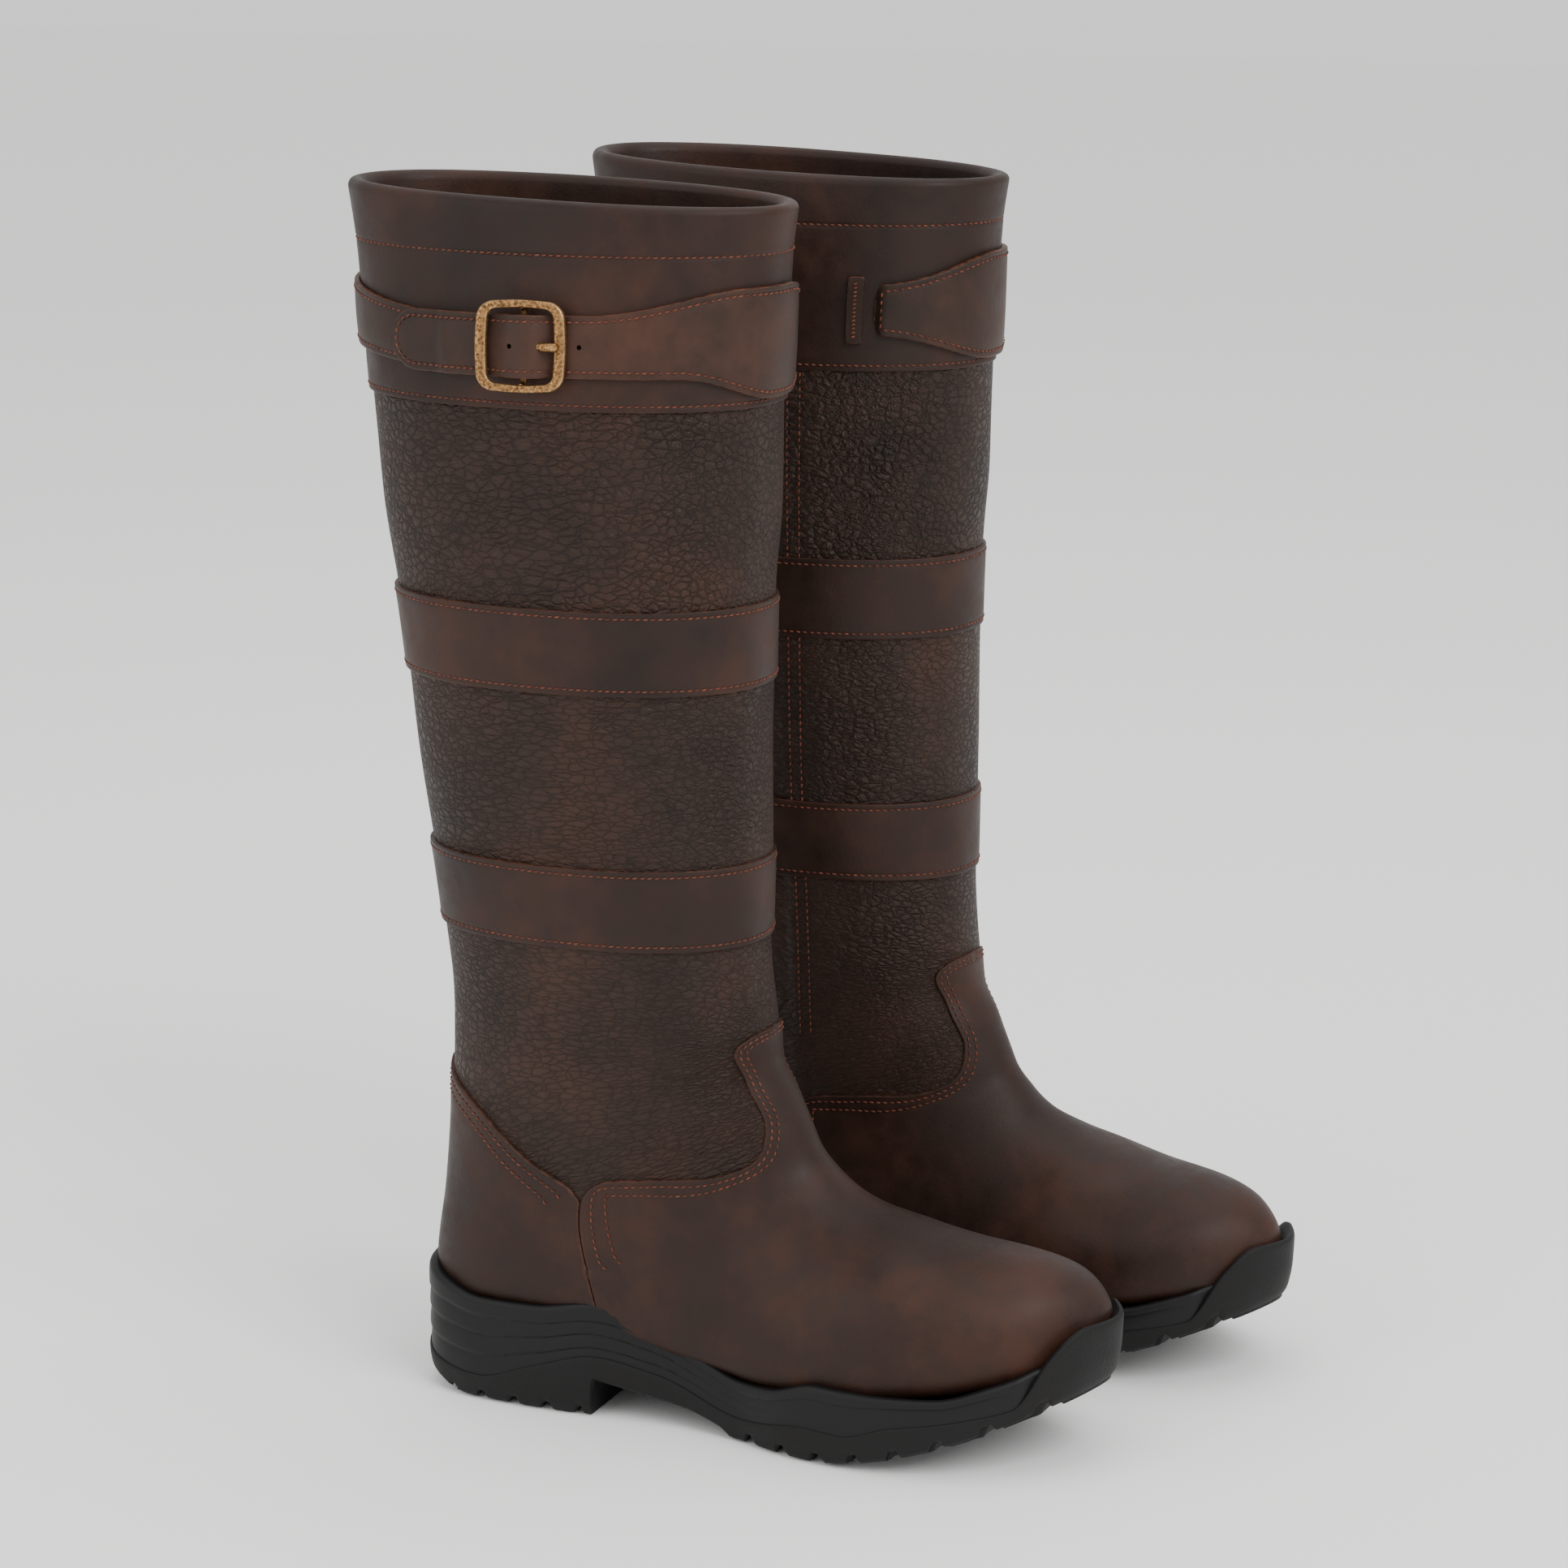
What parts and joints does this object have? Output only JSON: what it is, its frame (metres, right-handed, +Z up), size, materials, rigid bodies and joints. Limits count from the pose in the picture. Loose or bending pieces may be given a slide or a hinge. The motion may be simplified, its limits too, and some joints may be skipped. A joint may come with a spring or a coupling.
{
  "type": "riding boots",
  "caption": "Pair of knee-high pebbled and smooth leather riding boots with cleated rubber soles, sewn bands and a buckled strap at the collar.",
  "frame": {"origin": "middle of the pair's footprint, on the ground", "axes": "+Z up along the shafts, -Y towards the toes, +X towards the wearer's left boot"},
  "size_m": [0.2508, 0.3346, 0.4595],
  "materials": {
    "outsole_rubber": "matt moulded rubber, fine texture",
    "midsole_rubber": "satin moulded rubber",
    "shank_steel": "plain strip steel",
    "board": "pressed leather board",
    "footbed_foam": "foam with a dark fabric top",
    "lining_leather": "smooth unpolished lining leather",
    "stiffener": "heat-formed sheet",
    "smooth_leather": "oiled pull-up leather, smooth, satin",
    "pebbled_leather": "oiled pebble-grain leather",
    "antique_brass": "antique finish, worn bright at the edges",
    "thread": "waxed stitching thread, red-brown"
  },
  "bodies": {
    "right_boot": {"right_outsole": "outsole_rubber", "right_midsole": "midsole_rubber", "right_shank": "shank_steel", "right_insole_board": "board", "right_footbed": "footbed_foam", "right_lining": "lining_leather", "right_toe_puff": "stiffener", "right_heel_stiffener": "stiffener", "right_vamp": "smooth_leather", "right_heel_counter": "smooth_leather", "right_lower_panel": "pebbled_leather", "right_middle_panel": "pebbled_leather", "right_upper_panel": "pebbled_leather", "right_lower_band": "smooth_leather", "right_upper_band": "smooth_leather", "right_collar": "smooth_leather", "right_strap_tab": "smooth_leather", "right_billet_strap": "smooth_leather", "right_buckle_strap": "smooth_leather"},
    "left_boot": {"left_outsole": "outsole_rubber", "left_midsole": "midsole_rubber", "left_shank": "shank_steel", "left_insole_board": "board", "left_footbed": "footbed_foam", "left_lining": "lining_leather", "left_toe_puff": "stiffener", "left_heel_stiffener": "stiffener", "left_vamp": "smooth_leather", "left_heel_counter": "smooth_leather", "left_lower_panel": "pebbled_leather", "left_middle_panel": "pebbled_leather", "left_upper_panel": "pebbled_leather", "left_lower_band": "smooth_leather", "left_upper_band": "smooth_leather", "left_collar": "smooth_leather", "left_strap_tab": "smooth_leather", "left_billet_strap": "smooth_leather", "left_buckle_strap": "smooth_leather"},
    "right_buckle": {"right_buckle_frame": "antique_brass"},
    "right_prong": {"right_buckle_prong": "antique_brass"},
    "right_tail": {"right_strap_tail": "smooth_leather"},
    "left_buckle": {"left_buckle_frame": "antique_brass"},
    "left_prong": {"left_buckle_prong": "antique_brass"},
    "left_tail": {"left_strap_tail": "smooth_leather"}
  },
  "joints": [
    {"name": "left_boot_lift", "type": "slide", "parent": "right_boot", "child": "left_boot", "axis": [0, 0, 1], "range_m": [0, 0.5]},
    {"name": "right_buckle_rock", "type": "hinge", "parent": "right_boot", "child": "right_buckle", "pos_m": [-0.11861, 0.07677, 0.40618], "axis": [-0.0511, -0.0026, -0.9987], "range_deg": [-2, 1.4]},
    {"name": "right_prong_lift", "type": "hinge", "parent": "right_buckle", "child": "right_prong", "pos_m": [-0.11861, 0.07677, 0.40618], "axis": [-0.0511, -0.0026, -0.9987], "range_deg": [0, 6]},
    {"name": "right_tail_flex", "type": "hinge", "parent": "right_boot", "child": "right_tail", "pos_m": [-0.12043, 0.09408, 0.40629], "axis": [0.0511, 0.0026, 0.9987], "range_deg": [0, 60], "stiffness_Nm_per_rad": 0.01},
    {"name": "left_buckle_rock", "type": "hinge", "parent": "left_boot", "child": "left_buckle", "pos_m": [0.11717, 0.03664, 0.40618], "axis": [-0.0506, 0.0075, 0.9987], "range_deg": [-2, 1.4]},
    {"name": "left_prong_lift", "type": "hinge", "parent": "left_buckle", "child": "left_prong", "pos_m": [0.11717, 0.03664, 0.40618], "axis": [-0.0506, 0.0075, 0.9987], "range_deg": [0, 6]},
    {"name": "left_tail_flex", "type": "hinge", "parent": "left_boot", "child": "left_tail", "pos_m": [0.12065, 0.05369, 0.40629], "axis": [0.0506, -0.0075, -0.9987], "range_deg": [0, 60], "stiffness_Nm_per_rad": 0.01}
  ]
}
